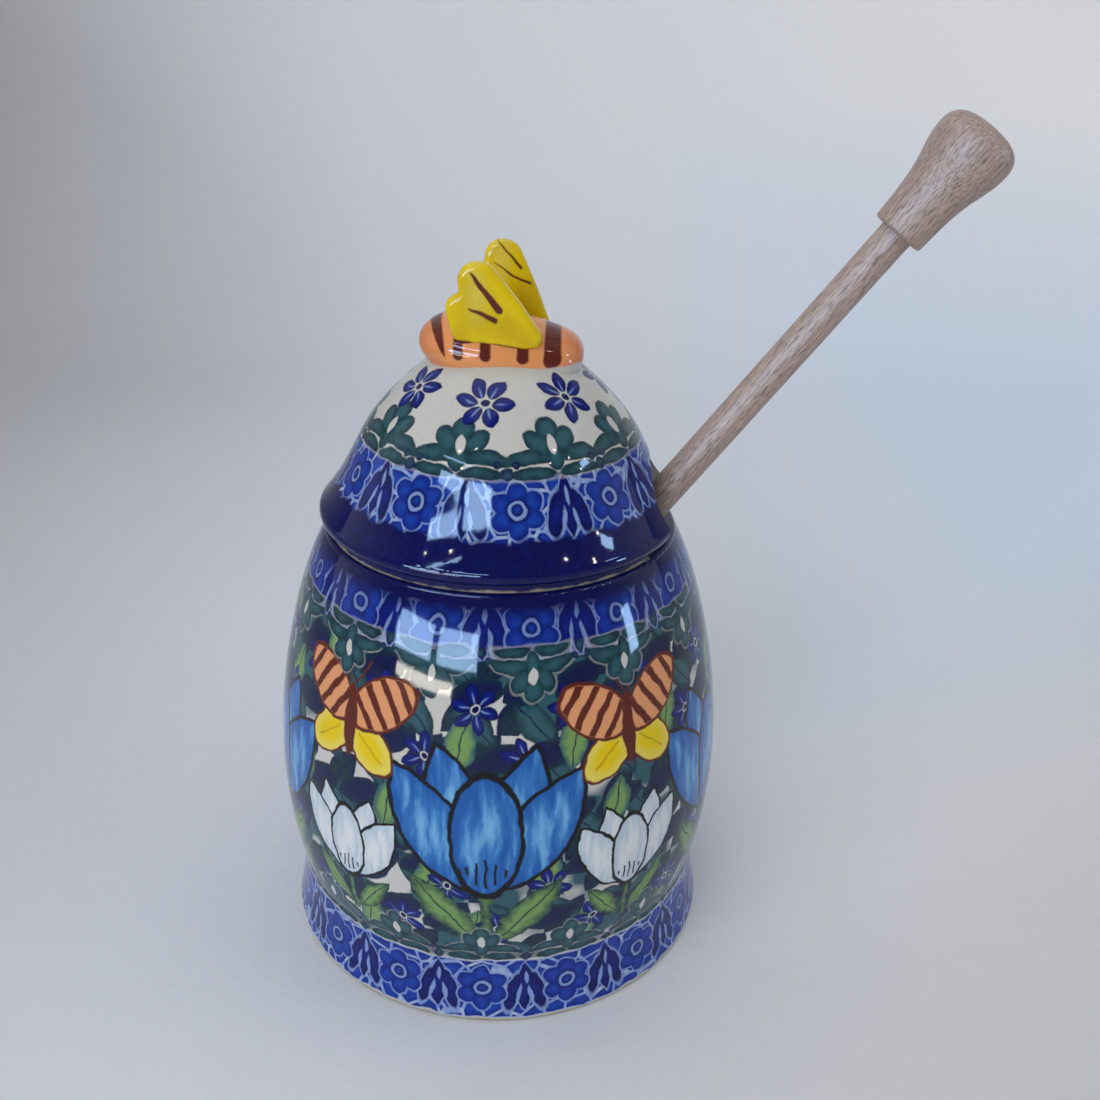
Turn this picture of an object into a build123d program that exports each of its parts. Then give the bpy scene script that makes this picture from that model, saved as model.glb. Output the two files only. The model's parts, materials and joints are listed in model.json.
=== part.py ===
"""Stoneware honey pot with a loose beehive lid, a bee finial and a wooden honey dipper.

Frame: millimetres, +Z up, the origin at the centre of the pot's base. The pot's front faces -Y. The dipper
stands in the pot and leans out towards +X in the XZ plane, through an arched notch in the lid's rim.
"""
import os
from math import asin, atan2, cos, degrees, hypot, sin, sqrt

from build123d import *

# --- Pot ---------------------------------------------------------------------------------------------------
foot_radius = 48.0
foot_edge = 1.2
waist_radius = 46.2
waist_height = 17.0
belly_radius = 49.2
belly_height = 42.0
shoulder_radius = 44.6
shoulder_height = 76.0
rim_radius = 37.1
rim_height = 96.5
rim_outer_round = 0.7
rim_inner_round = 1.2
mouth_radius = 33.8
mouth_depth = 7.0
wall = 5.4
floor_thickness = 5.0
floor_corner = 10.0
foot_slope = (-0.25, 1)
waist_slope = (0.25, 1)
rim_slope = (-0.55, 1)
mouth_slope = (0.4, -1)

# --- Lid, with heights counted from the pot's rim ------------------------------------------------------------
lid_radius = 38.0
bead_round = 2.0
bead_end_angle = 40.0
bead_lift = 1.6
skirt_radius = 31.7
skirt_rise = 13.7
middle_radius = 27.2
middle_rise = 21.8
dome_radius = 22.0
dome_rise = 27.9
lid_rise = 38.5
lid_wall = 4.0
flange_depth = 5.0
flange_thickness = 3.0
flange_clearance = 0.9

# --- Notch in the lid for the dipper -------------------------------------------------------------------------
notch_radius = 15.6
notch_corner = 3.5

# --- Bee on top of the lid -----------------------------------------------------------------------------------
bee_half_width = 11.5
bee_half_height = 7.2
bee_hump = 3.1
bee_tail_reach = 16.7
bee_neck = 10.4
bee_neck_height = 5.7
bee_head_reach = 16.5
bee_sink = 1.7
bee_nod = 6.0

# --- Wings: the outline's corners, from the middle of the bee (along its back, upwards, corner radius) ----------
wing_thickness = 3.4
wing_edge_round = 1.3
wing_spread = 8.3
wing_lean = 5.0
wing_height = 18.8
wing_outline = [
    (9.4, 3.5, 1.9),
    (3.6, 11.2, 14.0),
    (-2.9, wing_height, 4.2),
    (-9.4, wing_height, 3.6),
    (-8.4, 12.6, 1.0),
    (-11.4, 11.0, 2.8),
    (-8.9, 2.0, 5.0),
    (0.0, 1.6, 14.0),
]
wing_places = {
    "bee_wing_front": {"side": -1, "shift": 0.0, "turn": 0.0, "tip": -3.0},
    "bee_wing_rear": {"side": 1, "shift": 0.2, "turn": 6.0, "tip": 10.0},
}

# --- Dipper --------------------------------------------------------------------------------------------------
dipper_length = 212.0
dipper_gap = 0.35
rod_radius = 3.4
tip_radius = 8.0
head_radius = 12.0
head_length = 38.0
head_neck_radius = 6.0
head_socket_depth = 20.0
head_slope = (-1, 1)
groove_count = 6
groove_width = 2.2
groove_spacing = 4.6
groove_depth = 3.4
knob_length = 24.6
knob_neck_radius = 5.4
knob_middle_radius = 6.6
knob_radius = 8.1
knob_dome_height = 4.8
knob_shoulder_round = 0.8
knob_socket_depth = 14.0
knob_slope = (0.05, 1)


up = (0, 1)
down = (0, -1)
level = (-1, 0)
forward = (1, 0)

# --- Pot: foot, waist, belly, shoulder and rim in one turned body ----------------------------------------------
cavity_floor_radius = waist_radius - wall

with BuildPart() as pot:
    with BuildSketch(Plane.XZ):
        with BuildLine():
            base = Line((0, 0), (foot_radius - foot_edge, 0))
            edge = CenterArc((foot_radius - foot_edge, foot_edge), foot_edge, -90, 90)
            foot = Spline(edge @ 1, (waist_radius, waist_height), tangents=[foot_slope, up])
            body = Spline(
                foot @ 1,
                (belly_radius, belly_height),
                (shoulder_radius, shoulder_height),
                (rim_radius, rim_height - rim_outer_round),
                tangents=[waist_slope, rim_slope],
            )
            outer_round_center = (rim_radius - rim_outer_round, rim_height - rim_outer_round)
            rim_outside = CenterArc(outer_round_center, rim_outer_round, 0, 90)
            inner_round_center = (mouth_radius + rim_inner_round, rim_height - rim_inner_round)
            rim_inside = CenterArc(inner_round_center, rim_inner_round, 90, 90)
            Line(rim_outside @ 1, rim_inside @ 0)
            mouth = Line(rim_inside @ 1, (mouth_radius, rim_height - mouth_depth))
            cavity = Spline(
                mouth @ 1,
                (shoulder_radius - wall, shoulder_height),
                (belly_radius - wall, belly_height),
                (cavity_floor_radius, floor_thickness + floor_corner),
                tangents=[mouth_slope, down],
            )
            corner_center = (cavity_floor_radius - floor_corner, floor_thickness + floor_corner)
            corner = CenterArc(corner_center, floor_corner, 0, -90)
            inside_floor = Line(corner @ 1, (0, floor_thickness))
            Line(inside_floor @ 1, base @ 0)
        make_face()
    revolve(axis=Axis.Z)
pot.part.label = "pot"


# --- Lid: a beehive dome with a bead rim, a locating flange and an arched notch ----------------------------------
lid_seat_radius = lid_radius - bead_round
flange_outer_radius = mouth_radius - flange_clearance
flange_inner_radius = flange_outer_radius - flange_thickness
flange_bottom = rim_height - flange_depth
bead_height = rim_height + bead_lift + bead_round
lid_top = rim_height + lid_rise
middle_drop = lid_wall / 4
dome_drop = lid_wall / 2
notch_shelf = rim_height + bead_lift
notch_width = 2 * notch_radius + 3 * notch_corner
lid_section = Plane(origin=(0, 0, 0), x_dir=(-1, 0, 0), z_dir=(0, 1, 0))


def draw_lid_outside():
    """Draw the lid's outer line from the edge of its seat over the bead and the skirt to the top."""
    step = Line((lid_seat_radius, rim_height), (lid_seat_radius, rim_height + bead_lift))
    bead = CenterArc((lid_seat_radius, bead_height), bead_round, -90, 90 + bead_end_angle)
    dome = Spline(
        bead @ 1,
        (skirt_radius, rim_height + skirt_rise),
        (middle_radius, rim_height + middle_rise),
        (dome_radius, rim_height + dome_rise),
        (0, lid_top),
        tangents=[bead % 1, level],
    )
    return step, dome


with BuildPart() as lid_form:
    with BuildSketch(lid_section):
        with BuildLine():
            first, last = draw_lid_outside()
            Polyline(last @ 1, (0, rim_height), first @ 0)
        make_face()
    revolve(axis=Axis.Z)

with BuildPart() as lid:
    with BuildSketch(lid_section):
        with BuildLine():
            first, last = draw_lid_outside()
            seat = Line(first @ 0, (flange_outer_radius, rim_height))
            flange = Polyline(
                seat @ 1,
                (flange_outer_radius, flange_bottom),
                (flange_inner_radius, flange_bottom),
                (flange_inner_radius, rim_height),
            )
            inside = Spline(
                flange @ 1,
                (skirt_radius - lid_wall, rim_height + skirt_rise),
                (middle_radius - lid_wall, rim_height + middle_rise - middle_drop),
                (dome_radius - lid_wall, rim_height + dome_rise - dome_drop),
                (0, lid_top - lid_wall),
                tangents=[up, level],
            )
            Line(inside @ 1, last @ 1)
        make_face()
    revolve(axis=Axis.Z)
    with BuildSketch(Plane.YZ) as notch:
        with Locations((0, rim_height)):
            Circle(notch_radius)
        with Locations((0, notch_shelf)):
            Rectangle(notch_width, notch_shelf - flange_bottom, align=(Align.CENTER, Align.MAX))
        shelf = notch.vertices().group_by(Axis.Y)[-1]
        fillet(shelf.sort_by(Axis.X)[1:-1], notch_corner)
    extrude(amount=lid_radius, mode=Mode.SUBTRACT)
lid.part.label = "lid"


# --- Bee: a loaf-shaped body pressed on the dome, with two heart-shaped wings ------------------------------------
bee_place = Location((0, 0, lid_top - bee_sink), (0, bee_nod, 0))

with BuildPart() as bee_form:
    with BuildSketch(Plane.XZ):
        with BuildLine():
            tail = EllipticalCenterArc((-bee_hump, 0), bee_tail_reach - bee_hump, bee_half_height, 90)
            back = Spline(
                (-bee_hump, bee_half_height),
                (bee_neck, bee_neck_height),
                (bee_head_reach, 0),
                tangents=[forward, down],
            )
            Line((-bee_tail_reach, 0), (bee_head_reach, 0))
        make_face()
    revolve(axis=Axis.X)
    scale(by=(1, bee_half_width / bee_half_height, 1))

with BuildPart() as bee_body:
    with Locations(bee_place):
        add(bee_form.part)
    add(lid_form.part, mode=Mode.SUBTRACT)
bee_body.part.label = "bee_body"


def make_wing(name, side, shift, turn, tip):
    """Make one wing: side is -1 at the front and 1 at the rear, tip is its angle towards the bee's head."""
    lean = Location((shift, side * wing_spread, 0), (90 - side * wing_lean, turn, -tip))
    with BuildPart() as wing:
        with BuildSketch(Plane(bee_place * lean).offset(-wing_thickness / 2)):
            with BuildLine():
                corners = [(along, up) for along, up, corner_round in wing_outline]
                rounds = [corner_round for along, up, corner_round in wing_outline]
                FilletPolyline(corners, radius=rounds, close=True)
            make_face()
        extrude(amount=wing_thickness)
        fillet(wing.faces().filter_by(GeomType.PLANE).edges(), wing_edge_round)
        with Locations(bee_place):
            add(bee_form.part, mode=Mode.SUBTRACT)
        add(lid_form.part, mode=Mode.SUBTRACT)
    wing.part.label = name
    return wing


wings = [make_wing(name, **place) for name, place in wing_places.items()]


# --- Dipper: it stands in the corner of the pot's floor and leans on the inner edge of the rim -------------------
corner_inset = max(floor_corner, tip_radius + dipper_gap)
tip_shift = (corner_inset - tip_radius - dipper_gap) / sqrt(2)
tip_x = corner_inset - tip_shift - cavity_floor_radius
tip_z = floor_thickness + corner_inset - tip_shift
lean_x = mouth_radius + rim_inner_round - tip_x
lean_z = rim_height - rim_inner_round - tip_z
lean_reach = rim_inner_round + dipper_gap + rod_radius
lean_angle = atan2(lean_x, lean_z) - asin(lean_reach / hypot(lean_x, lean_z))

dipper_direction = (sin(lean_angle), 0, cos(lean_angle))
dipper_across = (cos(lean_angle), 0, -sin(lean_angle))
dipper_base = Plane(origin=(tip_x, 0, tip_z), x_dir=dipper_across, z_dir=dipper_direction)
dipper_section = Plane(origin=(tip_x, 0, tip_z), x_dir=dipper_across, z_dir=(0, -1, 0))
dipper_axis = Axis((tip_x, 0, tip_z), dipper_direction)

head_top = head_length - tip_radius
head_middle = head_top / 3
knob_end = dipper_length - tip_radius
knob_start = knob_end - knob_length
knob_dome_start = knob_end - knob_dome_height
rod_start = head_top - head_socket_depth
rod_end = knob_start + knob_socket_depth

with BuildPart() as dipper_rod:
    with BuildSketch(dipper_base.offset(rod_start)):
        Circle(rod_radius)
    extrude(amount=rod_end - rod_start)
dipper_rod.part.label = "dipper_rod"

with BuildPart() as dipper_head:
    with BuildSketch(dipper_section):
        with BuildLine():
            tip = CenterArc((0, 0), tip_radius, -90, 90)
            widest = (head_radius, head_middle)
            lower = Spline(tip @ 1, widest, tangents=[up, up])
            upper = Spline(widest, (head_neck_radius, head_top), tangents=[up, head_slope])
            Polyline(upper @ 1, (rod_radius, head_top), (rod_radius, rod_start), (0, rod_start), tip @ 0)
        make_face()
        for groove in range(groove_count):
            with Locations((head_radius, groove * groove_spacing)):
                Rectangle(2 * groove_depth, groove_width, mode=Mode.SUBTRACT)
    revolve(axis=dipper_axis)
dipper_head.part.label = "dipper_head"

with BuildPart() as dipper_knob:
    with BuildSketch(dipper_section):
        with BuildLine():
            bottom = Line((rod_radius, knob_start), (knob_neck_radius - knob_shoulder_round, knob_start))
            shoulder_center = (knob_neck_radius - knob_shoulder_round, knob_start + knob_shoulder_round)
            shoulder = CenterArc(shoulder_center, knob_shoulder_round, -90, 90)
            flare = Spline(
                shoulder @ 1,
                (knob_middle_radius, (knob_start + knob_end) / 2),
                (knob_radius, knob_dome_start),
                tangents=[knob_slope, up],
            )
            dome = Spline(flare @ 1, (0, knob_end), tangents=[up, level])
            Polyline(dome @ 1, (0, rod_end), (rod_radius, rod_end), bottom @ 0)
        make_face()
    revolve(axis=dipper_axis)
dipper_knob.part.label = "dipper_knob"


# --- Files -------------------------------------------------------------------------------------------------------
os.makedirs("parts", exist_ok=True)
for piece in [pot, lid, bee_body, *wings, dipper_rod, dipper_head, dipper_knob]:
    export_step(piece.part, f"parts/{piece.part.label}.step")

print("dipper lean from vertical, degrees:", round(degrees(lean_angle), 2))
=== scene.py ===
"""Looks of the stoneware honey pot: painted pot, lid and bee, beech dipper, sweep, lamps and camera."""
import json
from math import atan2, cos, pi, radians, sin, tan

import bpy
from mathutils import Matrix, Vector

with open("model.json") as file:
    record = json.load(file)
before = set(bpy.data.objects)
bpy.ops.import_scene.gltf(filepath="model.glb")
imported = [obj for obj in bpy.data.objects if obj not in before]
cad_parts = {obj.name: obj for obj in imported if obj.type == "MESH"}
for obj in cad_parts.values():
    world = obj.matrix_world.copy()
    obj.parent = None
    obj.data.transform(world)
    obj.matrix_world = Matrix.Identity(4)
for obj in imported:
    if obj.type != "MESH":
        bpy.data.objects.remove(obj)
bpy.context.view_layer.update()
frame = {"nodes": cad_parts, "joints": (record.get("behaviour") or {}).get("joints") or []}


# --- Arithmetic on numbers that vary over a surface -----------------------------------------------
class Number:
    """A number at each point of a surface. Arithmetic on it adds Math nodes to the material's node tree."""

    def __init__(self, tree, socket):
        self.tree = tree
        self.socket = socket

    def math(self, operation, *others, clamp=False):
        node = self.tree.nodes.new("ShaderNodeMath")
        node.operation = operation
        node.use_clamp = clamp
        for slot, value in zip(node.inputs, (self, *others)):
            feed(self.tree, slot, value)
        return Number(self.tree, node.outputs[0])

    def __add__(self, other):
        return self.math("ADD", other)

    def __sub__(self, other):
        return self.math("SUBTRACT", other)

    def __mul__(self, other):
        return self.math("MULTIPLY", other)

    def __truediv__(self, other):
        return self.math("DIVIDE", other)

    def __neg__(self):
        return self.math("MULTIPLY", -1.0)

    def size(self):
        return self.math("ABSOLUTE")

    def least(self, other):
        return self.math("MINIMUM", other)

    def most(self, other):
        return self.math("MAXIMUM", other)

    def above(self, level):
        return self.math("GREATER_THAN", level)

    def angle_from(self, other):
        return self.math("ARCTAN2", other)

    def repeat(self, pitch):
        """The distance to the nearest whole number of pitches, from -pitch/2 to pitch/2."""
        return (self + pitch / 2).math("FLOORED_MODULO", pitch) - pitch / 2

    def cell(self, pitch):
        """The whole number of pitches that repeat() measures from."""
        return (self / pitch + 0.5).math("FLOOR")

    def ramp(self, slope=1.0):
        """This number times the slope, kept from 0 to 1."""
        return self.math("MULTIPLY", slope, clamp=True)

    def cover(self, softness=0.25):
        """1 where this signed distance is below 0 and 0 where it is above, with a soft edge."""
        return (self / -softness + 0.5).math("ADD", 0.0, clamp=True)


def feed(tree, slot, value):
    """Give an input a Number, or a plain value that is the same everywhere."""
    if isinstance(value, Number):
        tree.links.new(value.socket, slot)
    else:
        slot.default_value = value


def length(x, y):
    return (x * x + y * y).math("SQRT")


def turned(x, y, degrees_left):
    """The point x, y in axes that are turned to the left."""
    c, s = cos(radians(degrees_left)), sin(radians(degrees_left))
    return x * c + y * s, y * c - x * s


def disc(x, y, radius):
    return length(x, y) - radius


def oval(x, y, half_length, half_width):
    return (length(x / half_length, y / half_width) - 1.0) * min(half_length, half_width)


def leaf(x, y, half_length, half_width):
    """A pointed oval along x: where two discs overlap."""
    radius = (half_length ** 2 + half_width ** 2) / (2 * half_width)
    return length(x, y.size() + (radius - half_width)) - radius


def brush(x, y, half_length, half_width):
    """A brush stroke along x that starts as a point and ends broad and round."""
    share = (x / (2 * half_length) + 0.5).ramp().math("POWER", 0.45)
    past_tip = x - half_length + half_width
    body = (y.size() - share * half_width).most(past_tip).most(-(x + half_length))
    return body.least(disc(past_tip, y, half_width))


def petals(x, y, count, distance, shape, half_length, half_width, turn=0.0):
    """A ring of petals round the point 0, 0."""
    spoke = (y.angle_from(x) + turn).repeat(2 * pi / count)
    reach = length(x, y)
    outwards = reach * spoke.math("COSINE") - distance
    return shape(outwards, reach * spoke.math("SINE"), half_length, half_width)


def outline(distance, width=0.5):
    """The signed distance to a line drawn along a shape's edge."""
    return distance.size() - width / 2


# --- Colours --------------------------------------------------------------------------------------
def shown(red, green, blue):
    """The colour with these display values from 0 to 255, as the linear colour that Blender works in."""
    def linear(value):
        share = value / 255
        return share / 12.92 if share <= 0.04045 else ((share + 0.055) / 1.055) ** 2.4
    return (linear(red), linear(green), linear(blue), 1.0)


CREAM = shown(193, 195, 194)
CLOUD_GREY = shown(190, 190, 180)
SPECK_GREY = shown(120, 115, 105)
BARE_CLAY = shown(160, 152, 136)
COBALT_DEEP = shown(0, 4, 76)
COBALT = shown(4, 28, 122)
COBALT_THIN = shown(16, 58, 160)
LACE_LINE = shown(122, 148, 204)
LACE_PALE = shown(176, 190, 208)
GREEN_DEEP = shown(14, 46, 58)
GREEN = shown(44, 86, 98)
GREEN_FRESH = shown(112, 150, 88)
NAVY = shown(12, 22, 70)
SKY_DEEP = shown(26, 88, 168)
SKY = shown(58, 132, 202)
SKY_PALE = shown(118, 178, 222)
WHITE = shown(212, 218, 226)
WHITE_SHADE = shown(178, 196, 214)
INK = shown(8, 9, 14)
ORANGE = shown(216, 152, 108)
ORANGE_DEEP = shown(200, 116, 80)
BROWN = shown(92, 36, 26)
YELLOW = shown(222, 196, 0)
YELLOW_DEEP = shown(190, 158, 0)
YELLOW_THIN = shown(222, 206, 96)
BEE_PEACH = shown(226, 152, 98)
BEE_TAN = shown(204, 142, 84)
BEECH = shown(170, 152, 146)
BEECH_BAND = shown(156, 138, 131)
BEECH_FIBRE = shown(128, 109, 102)
BEECH_FLECK = shown(112, 93, 87)
BEECH_PALE = shown(204, 190, 184)
PAPER = shown(212, 218, 230)
# Tones of the sweep: PAPER is the paper's own colour; the left and front-right tones are painted shade, and
# the right and right-wall tones are painted light.
PAPER_LEFT_SHADE = shown(161, 162, 163)
PAPER_RIGHT_LIGHT = shown(246, 248, 251)
PAPER_WALL_LIGHT = shown(214, 232, 255)
PAPER_FRONT_RIGHT_SHADE = shown(194, 192, 192)


# --- Paint and noise ------------------------------------------------------------------------------
class Paint:
    """Layers of colour, each laid over the ones before where its cover is 1."""

    def __init__(self, tree, ground, mottle=None):
        self.tree = tree
        self.mottle = mottle
        node = tree.nodes.new("ShaderNodeRGB")
        node.outputs[0].default_value = ground
        self.socket = node.outputs[0]

    def lay(self, cover, colour):
        node = self.tree.nodes.new("ShaderNodeMix")
        node.data_type = "RGBA"
        self.tree.links.new(cover.socket, node.inputs[0])
        self.tree.links.new(self.socket, node.inputs[6])
        node.inputs[7].default_value = colour
        self.socket = node.outputs[2]

    def lay_washed(self, distance, deep, thin, pool=0.7):
        """Lay a shape whose colour pools along its edge and in blots, and is thinner elsewhere."""
        self.lay(distance.cover(), deep)
        self.lay((distance + pool + self.mottle * (3.2 * pool)).cover(2.2 * pool), thin)


def new_material(name):
    material = bpy.data.materials.new(name)
    material.use_nodes = True
    tree = material.node_tree
    return material, tree, tree.nodes["Principled BSDF"]


def noise_node(tree, place, scale, detail=2.0, roughness=0.5):
    node = tree.nodes.new("ShaderNodeTexNoise")
    node.inputs["Scale"].default_value = scale
    node.inputs["Detail"].default_value = detail
    node.inputs["Roughness"].default_value = roughness
    tree.links.new(place, node.inputs["Vector"])
    return node


def noise(tree, place, scale, detail=2.0, roughness=0.5):
    """A smooth random number round 0.5, with this many features to a metre."""
    return Number(tree, noise_node(tree, place, scale, detail, roughness).outputs["Fac"])


def scattered(tree, seed):
    """A random number from 0 to 1 for each value of seed."""
    node = tree.nodes.new("ShaderNodeTexWhiteNoise")
    node.noise_dimensions = "1D"
    tree.links.new(seed.socket, node.inputs["W"])
    return Number(tree, node.outputs["Value"])


def bumped(tree, shader, height, distance, strength):
    node = tree.nodes.new("ShaderNodeBump")
    node.inputs["Distance"].default_value = distance
    node.inputs["Strength"].default_value = strength
    tree.links.new(height.socket, node.inputs["Height"])
    tree.links.new(node.outputs["Normal"], shader.inputs["Normal"])


def vector(tree, x, y, z):
    node = tree.nodes.new("ShaderNodeCombineXYZ")
    for slot, value in zip(node.inputs, (x, y, z)):
        feed(tree, slot, value)
    return node.outputs[0]


def parts_of(tree, socket):
    """The three numbers of a vector or a colour."""
    split = tree.nodes.new("ShaderNodeSeparateXYZ")
    tree.links.new(socket, split.inputs[0])
    return [Number(tree, part) for part in split.outputs]


HAND_DRIFT = 1.7        # millimetres, both ways together, by which the painted lines and stamps wander


class Turned:
    """Places on a turned surface, in millimetres, with the angle round the axis and the normal."""

    def __init__(self, tree):
        self.tree = tree
        self.place = tree.nodes.new("ShaderNodeTexCoord").outputs["Object"]
        self.mottle = noise(tree, self.place, 520.0, detail=3.0) - 0.5
        x, y, z = parts_of(tree, self.place)
        unsteady = noise_node(tree, self.place, 230.0, detail=2.5)
        sideways, upwards, _ = parts_of(tree, unsteady.outputs["Color"])
        self.x, self.y = x * 1000.0, y * 1000.0
        self.z = z * 1000.0 + (upwards - 0.5) * HAND_DRIFT
        self.radius = length(self.x, self.y)
        self.angle = y.angle_from(x) + (sideways - 0.5) * HAND_DRIFT / self.radius
        nx, ny, nz = parts_of(tree, tree.nodes.new("ShaderNodeNewGeometry").outputs["Normal"])
        self.outward = (nx * self.x + ny * self.y) / self.radius
        self.upward = nz

    def around(self, count, first_degrees):
        """The distance in millimetres along the surface from the nearest of count places round the axis."""
        return (self.angle - radians(first_degrees)).repeat(2 * pi / count) * self.radius

    def which(self, count, first_degrees):
        return (self.angle - radians(first_degrees)).cell(2 * pi / count)

    def up_slope(self, radius, z):
        """The distance in millimetres up a dome from the circle with this radius and height."""
        rise = self.z - z
        return length(self.radius - radius, rise) * rise.math("SIGN")


# --- Painted motifs: u runs along and v up, in millimetres ----------------------------------------
def paint_lace(paint, surface, band, flower_u, bud_u, v):
    """A sponge-stamped band: six-lobed flowers and tall pointed buds in cobalt between pale lines."""
    tree = paint.tree
    cells = tree.nodes.new("ShaderNodeTexVoronoi")
    cells.feature = "DISTANCE_TO_EDGE"
    cells.inputs["Scale"].default_value = 205.0
    tree.links.new(surface.place, cells.inputs["Vector"])
    gap = Number(tree, cells.outputs["Distance"])
    paint.lay(band.cover(), LACE_LINE)
    paint.lay((surface.mottle + 0.05).ramp(3.2).least(band.cover()), LACE_PALE)
    patches = (gap * -9.0 + 0.52).most(band + 0.2)
    paint.lay_washed(patches, COBALT, COBALT_THIN)

    bud = leaf(v - 0.4, bud_u, 6.0, 1.9)
    for side in (-1, 1):
        lean_v, lean_u = turned(v + 1.0, bud_u - side * 2.5, side * -14.0)
        bud = bud.least(oval(lean_v, lean_u, 4.7, 1.6))
    paint.lay((bud - 0.3).most(band + 0.1).cover(), LACE_LINE)
    paint.lay_washed(bud.most(band + 0.2), COBALT_DEEP, COBALT, pool=0.9)
    for side, rise, long in ((-1.0, -1.8, 2.6), (1.1, -2.0, 2.2), (0.2, 2.4, 1.8)):
        drop_v, drop_u = turned(v - rise, bud_u - side * 1.2, side * -10.0)
        paint.lay(leaf(drop_v, drop_u, long, 0.45).most(band + 0.2).cover(), LACE_LINE)

    lobes = petals(flower_u, v, 6, 3.2, oval, 2.3, 2.0, turn=0.5).least(disc(flower_u, v, 3.4))
    paint.lay((lobes - 0.32).most(band + 0.1).cover(), LACE_LINE)
    paint.lay_washed(lobes.most(band + 0.2), COBALT, COBALT_THIN, pool=0.7)
    ring = (length(flower_u, v) - 1.5).size() - 0.3
    paint.lay((ring - 0.5).cover(1.0), COBALT_DEEP)
    paint.lay(ring.cover(), LACE_LINE)


def paint_garland(paint, u, v, knot_u):
    """A row of green sprigs: lobes round a gap, two pairs of drooping leaves, and dots between."""
    side_u = u.size()
    droop = (side_u - 4.6) * (side_u - 4.6) * 0.055
    arm = oval(side_u - 5.4, v - 2.5 + droop, 4.9, 1.6)
    low = oval(side_u - 4.8, v + 0.6 + droop * 0.5, 4.6, 1.25)
    top = oval(v - 7.7, u, 2.6, 2.3)
    lobe_v, lobe_u = turned(v - 5.3, side_u - 2.8, 38.0)
    lobe = oval(lobe_v, lobe_u, 2.9, 2.1)
    neck = oval(v - 1.9, u, 2.6, 1.8)
    sprig = arm.least(low).least(top).least(lobe).least(neck)
    paint.lay((sprig - 0.3).cover(0.5) * 0.45, CREAM)
    paint.lay_washed(sprig, GREEN_DEEP, GREEN, pool=0.65)
    dots = disc(knot_u, v + 0.9, 1.2).least(disc(knot_u.size() - 1.6, v - 0.9, 0.8))
    paint.lay_washed(dots, NAVY, GREEN)
    paint.lay(leaf(v - 4.6, u, 2.0, 1.05).cover(), CREAM)


def paint_floret(paint, u, v, turn):
    """A small cobalt flower with six pointed petals round an eye."""
    star = petals(u, v, 6, 3.5, leaf, 2.45, 1.5, turn=turn)
    paint.lay_washed(star, COBALT_DEEP, COBALT, pool=0.5)
    vein = petals(u, v, 6, 2.3, leaf, 1.5, 0.2, turn=turn)
    paint.lay((vein + 0.04).cover(0.4), LACE_LINE)
    eye = length(u, v)
    paint.lay((eye - 1.15).cover(), CREAM)
    paint.lay((eye - 0.8).cover(), COBALT_DEEP)


def paint_tulip(paint, u, v, deep, middling, pale):
    """A tulip with five petals in three shades, inked outlines and a stem between two long leaves."""
    side_u = u.size()
    stem = (side_u - 1.0).most((v + 17.0).size() - 8.0)
    leaf_v, leaf_u = turned(v + 16.5, side_u - 7.0, 40.0)
    blade = leaf(leaf_v, leaf_u, 9.5, 3.0)
    paint.lay_washed(stem.least(blade), GREEN_DEEP, GREEN_FRESH, pool=0.9)
    paint.lay((leaf_u.size() - 0.15).most(blade + 0.8).cover(), GREEN_DEEP)
    side_v, side_w = turned(v + 0.2, side_u - 8.6, 33.0)
    outer = leaf(side_v, side_w, 13.5, 5.6)
    inner_v, inner_w = turned(v - 2.2, side_u - 4.7, 14.0)
    inner = leaf(inner_v, inner_w, 14.0, 5.4)
    middle = oval(v + 0.6, u, 11.6, 6.0)
    streaks = noise(paint.tree, vector(paint.tree, u * 0.5, v * 0.09, 0.0), 1.0, detail=3.0)
    for petal in (inner, outer, middle):
        inside = petal.cover()
        paint.lay(inside, deep)
        paint.lay((petal * 0.10 + streaks * 1.7 - 0.6).cover(0.5).least(inside), middling)
        paint.lay((petal * 0.11 + streaks * 2.6 - 0.7).cover(0.6).least(inside), pale)
        paint.lay(outline(petal, 0.75).cover(), INK)
    strokes = (side_u.repeat(1.7).size() - 0.25).most(middle + 0.9)
    paint.lay(strokes.most((v + 7.6).size() - 3.0 + side_u * 0.5).cover(), INK)


def paint_butterfly(paint, u, v):
    """A butterfly: orange fore wings with brown bars, yellow hind wings and a brown body."""
    side_u = u.size()
    hind_u, hind_v = turned(side_u - 5.4, v + 4.8, -38.0)
    hind = oval(hind_u, hind_v, 6.2, 4.2)
    paint.lay(hind.cover(), YELLOW_THIN)
    paint.lay((hind + 1.4).cover(2.0), YELLOW)
    paint.lay((hind_v.size() - 0.2).most(hind + 1.6).cover(), YELLOW_DEEP)
    paint.lay(outline(hind, 0.5).cover(), BROWN)
    fore_u, fore_v = turned(side_u - 7.0, v - 4.6, 34.0)
    fore = oval(fore_u, fore_v, 8.2, 5.0)
    paint.lay(fore.cover(), ORANGE)
    bars = (fore_u + 1.2).repeat(3.4).size() - 0.7
    paint.lay(bars.most(fore + 0.3).cover(), BROWN)
    paint.lay(outline(fore, 0.6).cover(), BROWN)
    paint.lay(oval(v + 0.4, u, 7.6, 1.5).cover(), BROWN)
    feeler_u, feeler_v = turned(side_u - 1.9, v - 9.8, 62.0)
    paint.lay((feeler_v.size() - 0.25).most(feeler_u.size() - 2.8).cover(), BROWN)


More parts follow.
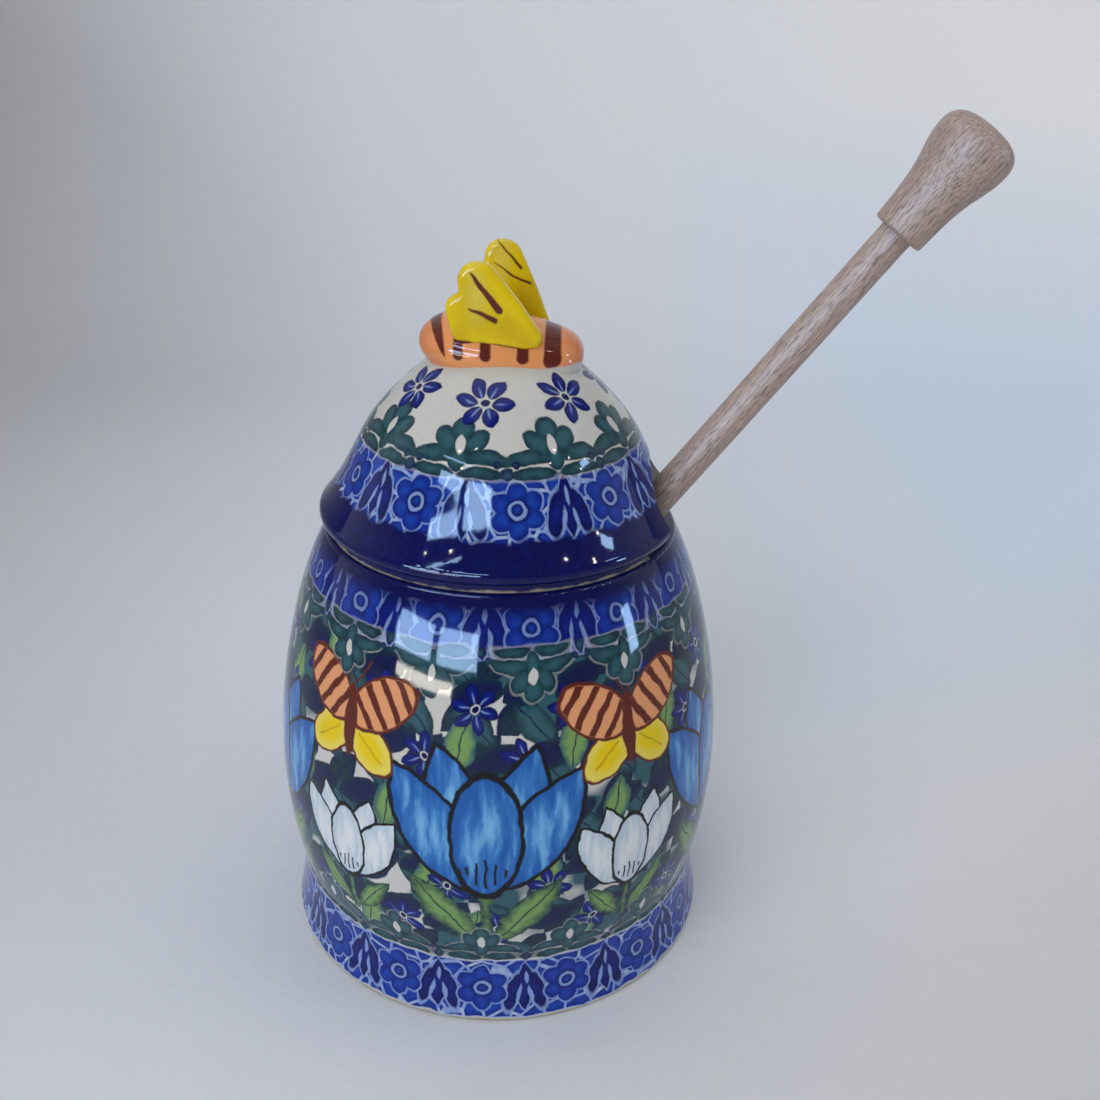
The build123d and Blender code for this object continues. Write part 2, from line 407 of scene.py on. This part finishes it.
def paint_foliage(paint, surface, zone):
    """Overlapping dark leaves that climb the pot in slanting rows, with lighter ones between them."""
    shade = noise(surface.tree, surface.place, 60.0, detail=2.0)
    paint.lay(((shade - 0.5) * 18.0).most(zone).cover(1.2), GREEN)
    for count, rise, shift, tilt, deep, thin in (
        (26, 9.5, 0.0, 34.0, NAVY, GREEN_DEEP),
        (24, 11.5, 5.0, -40.0, GREEN_DEEP, GREEN),
        (28, 13.0, 2.0, 70.0, GREEN_DEEP, NAVY),
        (13, 15.0, 9.0, 12.0, GREEN, GREEN_FRESH),
    ):
        row = (surface.z - shift).cell(rise)
        angle = surface.angle + row * (0.37 * 2 * pi / count)
        u = angle.repeat(2 * pi / count) * surface.radius
        v = (surface.z - shift).repeat(rise)
        seed = angle.cell(2 * pi / count) * 3.7 + row * 17.3 + shift
        chance = scattered(surface.tree, seed)
        leaf_v, leaf_u = turned(v + (chance - 0.5) * 2.4, u, tilt)
        shape = leaf(leaf_v, leaf_u, 6.4, 3.0)
        drawn = shape.most(zone)
        paint.lay_washed(drawn, deep, thin)
        paint.lay((leaf_u.size() - 0.16).most(drawn + 0.5).cover(), NAVY)


def speckle(paint, surface):
    """Faint grey specks and cloudiness under the glaze."""
    cloud = noise(surface.tree, surface.place, 35.0, detail=4.0)
    paint.lay((cloud - 0.35).ramp(0.25), CLOUD_GREY)
    specks = noise(surface.tree, surface.place, 1500.0, detail=1.0)
    paint.lay((specks - 0.68).ramp(3.0), SPECK_GREY)


# --- Glaze ----------------------------------------------------------------------------------------
GLAZE_IOR = 1.39
GLAZE_ROUGHNESS = 0.055
CLAY_ROUGHNESS = 0.605
BEE_GLAZE_ROUGHNESS = 0.06
RIPPLE_DEPTH = 0.0002       # metres


def clear_glaze(tree, shader, paint, roughness, ripple, strength):
    """Clear gloss glaze over the paint, with a slight ripple."""
    tree.links.new(paint.socket, shader.inputs["Base Color"])
    feed(tree, shader.inputs["Roughness"], roughness)
    shader.inputs["IOR"].default_value = GLAZE_IOR
    bumped(tree, shader, ripple, RIPPLE_DEPTH, strength)


def glaze_but_for(bare, tree, shader, surface, paint):
    """Clear glaze over the paint, and matt clay where bare is 1."""
    paint.lay(bare, BARE_CLAY)
    roughness = bare * (CLAY_ROUGHNESS - GLAZE_ROUGHNESS) + GLAZE_ROUGHNESS
    ripple = noise(tree, surface.place, 90.0, detail=3.0)
    clear_glaze(tree, shader, paint, roughness, ripple, 0.16)


# --- Pot ------------------------------------------------------------------------------------------
# Counts are round the axis, directions are in degrees, heights and sizes in millimetres.
MIDDLE_HEIGHT = 50.0            # parts the lower bands from the upper ones
FOLIAGE_MIDDLE, FOLIAGE_HALF = 51.0, 35.0
FLORET_COUNT = 15
FLORET_SIZE = 0.85
FLORET_ROWS = ((3.0, 76.0), (15.0, 66.0), (9.0, 26.0), (21.0, 37.0))    # first direction and height
FRIEZE_COUNT = 5
LARGE_TULIP_DIRECTION, LARGE_TULIP_HEIGHT, LARGE_TULIP_SIZE = -90.0, 50.0, 1.2
SMALL_TULIP_HEIGHT, SMALL_TULIP_SIZE = 41.0, 0.76
BUTTERFLY_HEIGHT = 69.0
LOWER_LACE_COUNT, UPPER_LACE_COUNT = 16, 14
LOWER_LACE_HEIGHT, UPPER_LACE_HEIGHT = 8.6, 90.8
LOWER_LACE_HALF, UPPER_LACE_HALF = 7.1, 5.5
LACE_PITCH = 18.2
LOWER_GARLAND_FOOT, UPPER_GARLAND_FOOT = 17.4, 86.0     # the upper one hangs down
GARLAND_WIDTH, GARLAND_RISE = 0.75, 0.85
SHOULDER_COBALT_HEIGHT = 93.2
BARE_RIM_HEIGHT, BARE_RIM_RADIUS = 96.2, 34.1
BARE_FOOT_HEIGHT = 1.2


def pot_material():
    material, tree, shader = new_material("painted_pot")
    surface = Turned(tree)
    z = surface.z
    upper = z.above(MIDDLE_HEIGHT)
    paint = Paint(tree, CREAM, surface.mottle)
    speckle(paint, surface)

    zone = (z - FOLIAGE_MIDDLE).size() - FOLIAGE_HALF
    paint_foliage(paint, surface, zone)
    for direction, height in FLORET_ROWS:
        floret_turn = scattered(tree, surface.which(FLORET_COUNT, direction))
        floret_u = surface.around(FLORET_COUNT, direction)
        paint_floret(paint, floret_u / FLORET_SIZE, (z - height) / FLORET_SIZE, floret_turn)
    between_u = surface.around(FRIEZE_COUNT, LARGE_TULIP_DIRECTION - 180.0 / FRIEZE_COUNT)
    small_u, small_v = between_u / SMALL_TULIP_SIZE, (z - SMALL_TULIP_HEIGHT) / SMALL_TULIP_SIZE
    paint_tulip(paint, small_u, small_v, WHITE_SHADE, WHITE, WHITE)
    large_u = surface.around(FRIEZE_COUNT, LARGE_TULIP_DIRECTION) / LARGE_TULIP_SIZE
    large_v = (z - LARGE_TULIP_HEIGHT) / LARGE_TULIP_SIZE
    paint_tulip(paint, large_u, large_v, SKY_DEEP, SKY, SKY_PALE)
    paint_butterfly(paint, between_u, z - BUTTERFLY_HEIGHT)

    count = upper * (UPPER_LACE_COUNT - LOWER_LACE_COUNT) + LOWER_LACE_COUNT
    share = surface.angle / (2 * pi) * count
    flower_u = (share + 0.06).repeat(1.0) * LACE_PITCH
    bud_u = (share + 0.56).repeat(1.0) * LACE_PITCH
    band_v = z - LOWER_LACE_HEIGHT - upper * (UPPER_LACE_HEIGHT - LOWER_LACE_HEIGHT)
    band = (band_v + 0.1).size() - LOWER_LACE_HALF + upper * (LOWER_LACE_HALF - UPPER_LACE_HALF)
    paint_lace(paint, surface, band, flower_u, bud_u, band_v)
    paint.lay(band.cover().least(upper) * 0.25, COBALT)
    garland_v = z - LOWER_GARLAND_FOOT + upper * (z * -2.0 + (LOWER_GARLAND_FOOT + UPPER_GARLAND_FOOT))
    paint_garland(paint, flower_u / GARLAND_WIDTH, garland_v / GARLAND_RISE, bud_u / GARLAND_WIDTH)
    paint.lay((-(z - SHOULDER_COBALT_HEIGHT)).cover(2.6), COBALT_DEEP)

    lip = z.above(95.0) * -0.6 + 0.3
    paint.lay((surface.outward - lip).cover(0.2), CREAM)
    # Only the rim's top inside BARE_RIM_RADIUS is bare clay. Outside it the top keeps the shoulder's deep
    # cobalt, which is glaze at the outer edge and painted shade over the rest of the seat, in the gap under
    # the lid.
    rim = (-(z - BARE_RIM_HEIGHT)).cover(0.3).least((surface.radius - BARE_RIM_RADIUS).cover(0.4))
    foot = (z - BARE_FOOT_HEIGHT).cover(0.5)
    glaze_but_for(rim.most(foot), tree, shader, surface, paint)
    return material


# --- Lid ------------------------------------------------------------------------------------------
LID_LACE_COUNT, LID_LACE_DIRECTION, LID_LACE_HALF = 10, -81.5, 6.7
LID_LACE_PLACE = (31.2, 110.9)          # radius and height of the band's middle
LID_GARLAND_COUNT, LID_GARLAND_DIRECTION = 9, -105.0
LID_GARLAND_PLACE = (27.6, 117.6)       # radius and height of its foot
LID_FLORET_COUNT, LID_FLORET_DIRECTION = 7, -97.0
LID_FLORET_PLACE = (18.5, 127.6)
LID_COBALT_HEIGHT = 105.7
COBALT_SCALLOPS, SCALLOP_SLOPE = 30, 0.21
BARE_SEAT_HEIGHT = 96.8


def lid_material():
    material, tree, shader = new_material("painted_lid")
    surface = Turned(tree)
    paint = Paint(tree, CREAM, surface.mottle)
    speckle(paint, surface)

    lace_v = surface.up_slope(*LID_LACE_PLACE)
    flower_u = surface.around(LID_LACE_COUNT, LID_LACE_DIRECTION)
    bud_u = surface.around(LID_LACE_COUNT, LID_LACE_DIRECTION + 180.0 / LID_LACE_COUNT)
    paint_lace(paint, surface, lace_v.size() - LID_LACE_HALF, flower_u, bud_u, lace_v)
    garland_v = surface.up_slope(*LID_GARLAND_PLACE)
    sprig_u = surface.around(LID_GARLAND_COUNT, LID_GARLAND_DIRECTION)
    knot_u = surface.around(LID_GARLAND_COUNT, LID_GARLAND_DIRECTION + 180.0 / LID_GARLAND_COUNT)
    paint_garland(paint, sprig_u, garland_v, knot_u)
    floret_turn = (scattered(tree, surface.which(LID_FLORET_COUNT, LID_FLORET_DIRECTION)) - 0.5) * 0.9
    floret_u = surface.around(LID_FLORET_COUNT, LID_FLORET_DIRECTION)
    paint_floret(paint, floret_u, surface.up_slope(*LID_FLORET_PLACE), floret_turn)
    scallop = surface.around(COBALT_SCALLOPS, 0.0).size() * SCALLOP_SLOPE
    rim = (surface.z - LID_COBALT_HEIGHT - scallop).cover(0.8)
    paint.lay(rim, COBALT_DEEP)
    paint.lay(surface.mottle.ramp(1.35).least(rim), COBALT)

    inside = (surface.outward + surface.upward * 0.8 + 0.35).cover(0.2)
    seat = (surface.z - BARE_SEAT_HEIGHT).cover(0.5)
    paint.lay(inside, CREAM)
    glaze_but_for(seat, tree, shader, surface, paint)
    return material


# --- Bee ------------------------------------------------------------------------------------------
# Places are along the bee and up from the pot's foot, in millimetres.
BEE_TAIL_STROKE = (-13.6, 140.8, 0.42, 7.4, 1.4)        # place, lean, half length, half width
# Each stroke's place along the bee, half width and lower end.
BEE_STROKES = ((-8.0, 1.0, 133.3), (-2.7, 1.1, 133.5), (4.5, 1.2, 132.9), (10.2, 1.8, 131.9))
BEE_STROKE_HALF = 11.0
BEE_GLAZE_EDGE = 132.0
# Each vein's place, lean in degrees, half length and half width.
FRONT_VEINS = ((-2.6, 146.6, -53.0, 4.9, 0.8), (-3.2, 142.4, -24.0, 3.1, 0.55))
REAR_VEINS = ((0.8, 150.0, -47.0, 3.9, 0.28), (1.6, 146.2, -30.0, 4.4, 0.28))
HALO_PLACE, HALO_HALF_SIZES = (-4.4, 146.4), (1.5, 4.4)
REAR_HALO_SHIFT = (3.8, 3.0)
WING_FOOT_HEIGHT, WING_FOOT_SLOPE = 136.45, 0.12


def bee_material():
    material, tree, shader = new_material("bee_body_glaze")
    surface = Turned(tree)
    x, y, z = surface.x, surface.y, surface.z
    paint = Paint(tree, BEE_PEACH)
    cloud = noise(tree, surface.place, 120.0, detail=3.0)
    paint.lay(((x.size() - 10.5) * 0.14 + cloud - 0.42).ramp(0.9), ORANGE_DEEP)
    paint.lay((-cloud + 0.52).ramp(1.6), BEE_TAN)
    for centre, half_width, low in BEE_STROKES:
        stroke = brush(-(z - low - BEE_STROKE_HALF), x - centre, BEE_STROKE_HALF, half_width)
        paint.lay(stroke.cover(0.4), BROWN)
    centre, height, lean, half_length, half_width = BEE_TAIL_STROKE
    paint.lay(leaf(z - height, x - centre + (z - height) * lean, half_length, half_width).cover(0.4), BROWN)
    painted_edge = (x + 4.0).least(0.0) * 0.18 + BEE_GLAZE_EDGE
    paint.lay((z - painted_edge).cover(0.6), CREAM)
    clear_glaze(tree, shader, paint, BEE_GLAZE_ROUGHNESS, cloud, 0.2)
    return material


def wing_material():
    material, tree, shader = new_material("wing_glaze")
    surface = Turned(tree)
    x, z = surface.x, surface.z
    rear = surface.y.above(0.0)
    front = -rear + 1.0
    paint = Paint(tree, YELLOW)
    cloud = noise(tree, surface.place, 110.0, detail=3.0)
    paint.lay((cloud - 0.45).ramp(3.0), YELLOW_DEEP)
    halo_x = x - rear * REAR_HALO_SHIFT[0] - HALO_PLACE[0]
    halo_z = z - rear * REAR_HALO_SHIFT[1] - HALO_PLACE[1]
    paint.lay(oval(halo_x, halo_z, *HALO_HALF_SIZES).cover(2.4) * 0.6, YELLOW_THIN)
    for side, veins in ((front, FRONT_VEINS), (rear, REAR_VEINS)):
        for along, up, lean, long, half_width in veins:
            line_x, line_z = turned(x - along, z - up, lean)
            paint.lay(brush(line_x, line_z, long, half_width).cover(0.3).least(side), BROWN)
    paint.lay((z - WING_FOOT_HEIGHT + x * WING_FOOT_SLOPE).cover(0.5), BROWN)
    clear_glaze(tree, shader, paint, BEE_GLAZE_ROUGHNESS, cloud, 0.2)
    return material


# --- Dipper ---------------------------------------------------------------------------------------
# Features to a metre across and along the grain.
GROWTH_BANDS = (260.0, 12.0)
FIBRES = (1500.0, 110.0)
FLECKS = (3400.0, 420.0)


def beech_material():
    """Sanded beech: a greyish pink ground, soft bands of growth and short dark flecks along the axis."""
    material, tree, shader = new_material("sanded_beech")
    draw = next(joint for joint in frame["joints"] if joint["name"] == "dipper_draw")
    lean = atan2(draw["axis"][0], draw["axis"][2])
    place = tree.nodes.new("ShaderNodeTexCoord").outputs["Object"]
    upright = tree.nodes.new("ShaderNodeMapping")
    upright.inputs["Rotation"].default_value = (0.0, -lean, 0.0)
    tree.links.new(place, upright.inputs["Vector"])

    def along_grain(across, along):
        stretch = tree.nodes.new("ShaderNodeVectorMath")
        stretch.operation = "MULTIPLY"
        stretch.inputs[1].default_value = (across, across, along)
        tree.links.new(upright.outputs[0], stretch.inputs[0])
        return stretch.outputs[0]

    bands = noise(tree, along_grain(*GROWTH_BANDS), 1.0)
    fibres = noise(tree, along_grain(*FIBRES), 1.0)
    flecks = noise(tree, along_grain(*FLECKS), 1.0, detail=2.5, roughness=0.6)
    paint = Paint(tree, BEECH)
    paint.lay((bands - 0.42).ramp(2.08), BEECH_BAND)
    paint.lay((fibres - 0.52).ramp(2.0), BEECH_FIBRE)
    paint.lay((flecks - 0.51).ramp(5.58), BEECH_FLECK)
    paint.lay((flecks - 0.44).ramp(-4.05), BEECH_PALE)
    tree.links.new(paint.socket, shader.inputs["Base Color"])
    feed(tree, shader.inputs["Roughness"], flecks * 0.2 + 0.36)
    bumped(tree, shader, flecks + fibres, 0.0003, 0.4)
    return material


# --- Sweep that the pot stands on -----------------------------------------------------------------
def sweep_material():
    """Pale paper with painted light and shade: painted shade darkens it to the left and greys it at the
    front right, and painted light makes it brighter to the right and bluer on the wall at the back right.
    """
    material, tree, shader = new_material("pale_sweep")
    place = tree.nodes.new("ShaderNodeTexCoord").outputs["Object"]
    x, y, z = parts_of(tree, place)
    paint = Paint(tree, PAPER)
    cloud = noise(tree, place, 3.0, detail=3.0)
    # Painted shade: the paper darkens towards the left.
    left = (x + 0.09) * -3.8 - z * 1.2 + (cloud - 0.5) * 0.4
    paint.lay(left.ramp(0.95), PAPER_LEFT_SHADE)
    # Painted light: the paper brightens towards the right and upwards.
    right = (x + 0.1) * 1.6 + z * 2.4
    paint.lay(right.ramp(0.95), PAPER_RIGHT_LIGHT)
    # Painted light: the wall at the back right is brighter and bluer.
    right_wall = ((x - 0.05) * 7.0).least((y - 0.04) * 8.0).least((z - 0.13) * -8.0)
    paint.lay(right_wall.ramp(0.75), PAPER_WALL_LIGHT)
    # Painted shade: the floor greys towards the front right.
    front_right = (x - 0.02) * 5.0 - (y + 0.02) * 4.0
    paint.lay(front_right.ramp(0.8), PAPER_FRONT_RIGHT_SHADE)
    tree.links.new(paint.socket, shader.inputs["Base Color"])
    shader.inputs["Roughness"].default_value = 0.9
    shader.inputs["Specular IOR Level"].default_value = 0.2
    creases = noise(tree, place, 48.0, detail=4.0, roughness=0.55)
    bumped(tree, shader, creases, 0.003, 0.22)
    return material


SWEEP_WIDTH = 3.0
SWEEP_FRONT = -0.8
SWEEP_BACK = 0.62
SWEEP_BEND = 0.25
SWEEP_HEIGHT = 1.6
SWEEP_STEPS = 24


def make_sweep():
    """A floor that bends up into a wall behind the pot."""
    profile = [(SWEEP_FRONT, 0.0), (SWEEP_BACK - SWEEP_BEND, 0.0)]
    for step in range(1, SWEEP_STEPS + 1):
        turn = step / SWEEP_STEPS * pi / 2
        back, rise = SWEEP_BEND * sin(turn), SWEEP_BEND * (1 - cos(turn))
        profile.append((SWEEP_BACK - SWEEP_BEND + back, rise))
    profile.append((SWEEP_BACK, SWEEP_HEIGHT))
    points = [(side * SWEEP_WIDTH / 2, y, z) for y, z in profile for side in (-1, 1)]
    faces = [(2 * i, 2 * i + 1, 2 * i + 3, 2 * i + 2) for i in range(len(profile) - 1)]
    mesh = bpy.data.meshes.new("sweep")
    mesh.from_pydata(points, [], faces)
    for polygon in mesh.polygons:
        polygon.use_smooth = True
    sweep = bpy.data.objects.new("sweep", mesh)
    bpy.context.scene.collection.objects.link(sweep)
    mesh.materials.append(sweep_material())


# --- Lamps ----------------------------------------------------------------------------------------
LAMP_TARGET = Vector((0.0, 0.0, 0.08))
LAMP_DISTANCE = 1.3
SKYLIGHT = (0.42, 0.66, 1.0)
SUNLIT = (1.0, 0.94, 0.82)
DAYLIGHT = (1.0, 0.985, 0.97)
ROOM_LIGHTS = (         # azimuth and elevation, in degrees
    (-141, 40), (-134, 52), (-123, 41.5), (-118, 57),
    (-40, 43), (-27, 49), (-20, 40), (-17, 30), (-24, -4),
)


def add_lamp(name, azimuth, elevation, wide, high, radiance, colour):
    """A rectangular lamp: where it stands, seen from the pot, and its angular size, all in degrees."""
    lamp = bpy.data.lights.new(name, "AREA")
    lamp.shape = "RECTANGLE"
    lamp.size = 2 * LAMP_DISTANCE * tan(radians(wide / 2))
    lamp.size_y = 2 * LAMP_DISTANCE * tan(radians(high / 2))
    lamp.energy = radiance * pi * lamp.size * lamp.size_y
    lamp.color = colour
    level = cos(radians(elevation))
    out = Vector((cos(radians(azimuth)) * level, sin(radians(azimuth)) * level, sin(radians(elevation))))
    holder = bpy.data.objects.new(name, lamp)
    holder.location = LAMP_TARGET + LAMP_DISTANCE * out
    holder.rotation_euler = (-out).to_track_quat("-Z", "Y").to_euler()
    bpy.context.scene.collection.objects.link(holder)
    return holder


def add_reflection(name, *place_size_and_light):
    """A bright pane that shows in the glaze and sheds no light on matt surfaces."""
    pane = add_lamp(name, *place_size_and_light)
    pane.visible_diffuse = False


def add_lamps():
    key = add_lamp("key", -120.0, 24.0, 46.0, 40.0, 3.2, DAYLIGHT)
    fill = add_lamp("fill", -12.0, 20.0, 42.0, 38.0, 1.0, DAYLIGHT)
    for soft in (key, fill):
        soft.visible_glossy = False
    add_lamp("ceiling", 120.0, 78.0, 50.0, 50.0, 0.6, DAYLIGHT)
    for number, azimuth in enumerate((-134.0, -109.5), start=1):
        add_reflection(f"low_pane_{number}", azimuth, 10.5, 21.0, 12.0, 21.0, SKYLIGHT)
    for number, azimuth in enumerate((-129.5, -105.0), start=1):
        add_reflection(f"high_pane_{number}", azimuth, 33.0, 17.0, 6.0, 21.0, SKYLIGHT)
    add_reflection("top_pane", -131.0, 45.5, 22.0, 1.0, 22.0, SKYLIGHT)
    add_reflection("sunlit_ground", -126.0, -0.8, 30.0, 3.2, 22.0, SUNLIT)
    add_reflection("narrow_low", -12.5, 4.0, 6.0, 13.0, 22.0, SKYLIGHT)
    add_reflection("narrow_high", -11.0, 31.5, 7.0, 4.0, 22.0, SKYLIGHT)
    for number, (azimuth, elevation) in enumerate(ROOM_LIGHTS, start=1):
        add_reflection(f"room_light_{number}", azimuth, elevation, 1.3, 0.9, 60.0, SUNLIT)


def light_world():
    """A pale studio that is brighter towards the backdrop than towards the room in front of the pot."""
    world = bpy.data.worlds.new("studio")
    bpy.context.scene.world = world
    world.use_nodes = True
    tree = world.node_tree
    _, backward, _ = parts_of(tree, tree.nodes.new("ShaderNodeTexCoord").outputs["Generated"])
    strength = (backward + 0.4).ramp(1.6) * 0.42 + 0.22
    background = tree.nodes["Background"]
    background.inputs["Color"].default_value = (1.0, 0.99, 0.98, 1.0)
    tree.links.new(strength.socket, background.inputs["Strength"])


# --- Camera at the photograph's angle -------------------------------------------------------------
CAMERA_PLACE = (0.0122785, -0.2342885, 0.20041)     # metres
CAMERA_HEADING = 90.4047                            # degrees, as are the dip and the roll
CAMERA_DIP = 25.5243
CAMERA_ROLL = 1.4835
CAMERA_LENS = 39.27                                 # millimetres, on a sensor 36 wide


def add_camera():
    heading, dip, roll = radians(CAMERA_HEADING), radians(CAMERA_DIP), radians(CAMERA_ROLL)
    ahead = Vector((cos(heading) * cos(dip), sin(heading) * cos(dip), -sin(dip)))
    right = Vector((sin(heading), -cos(heading), 0.0))
    up = right.cross(ahead)
    rolled_right = cos(roll) * right + sin(roll) * up
    rolled_up = cos(roll) * up - sin(roll) * right
    lens = bpy.data.cameras.new("camera")
    lens.lens = CAMERA_LENS
    lens.sensor_width = 36.0
    lens.clip_start = 0.01
    camera = bpy.data.objects.new("camera", lens)
    turn = Matrix((rolled_right, rolled_up, -ahead)).transposed().to_4x4()
    camera.matrix_world = Matrix.Translation(CAMERA_PLACE) @ turn
    bpy.context.scene.collection.objects.link(camera)
    bpy.context.scene.camera = camera


# --- The scene ------------------------------------------------------------------------------------
def dress(names, material):
    for name in names:
        mesh = frame["nodes"][name].data
        mesh.materials.clear()
        mesh.materials.append(material)


dress(["pot"], pot_material())
dress(["lid"], lid_material())
dress(["bee_body"], bee_material())
dress(["bee_wing_front", "bee_wing_rear"], wing_material())
dress(["dipper_rod", "dipper_head", "dipper_knob"], beech_material())
make_sweep()
add_lamps()
light_world()
add_camera()
bpy.context.scene.view_settings.view_transform = "Standard"
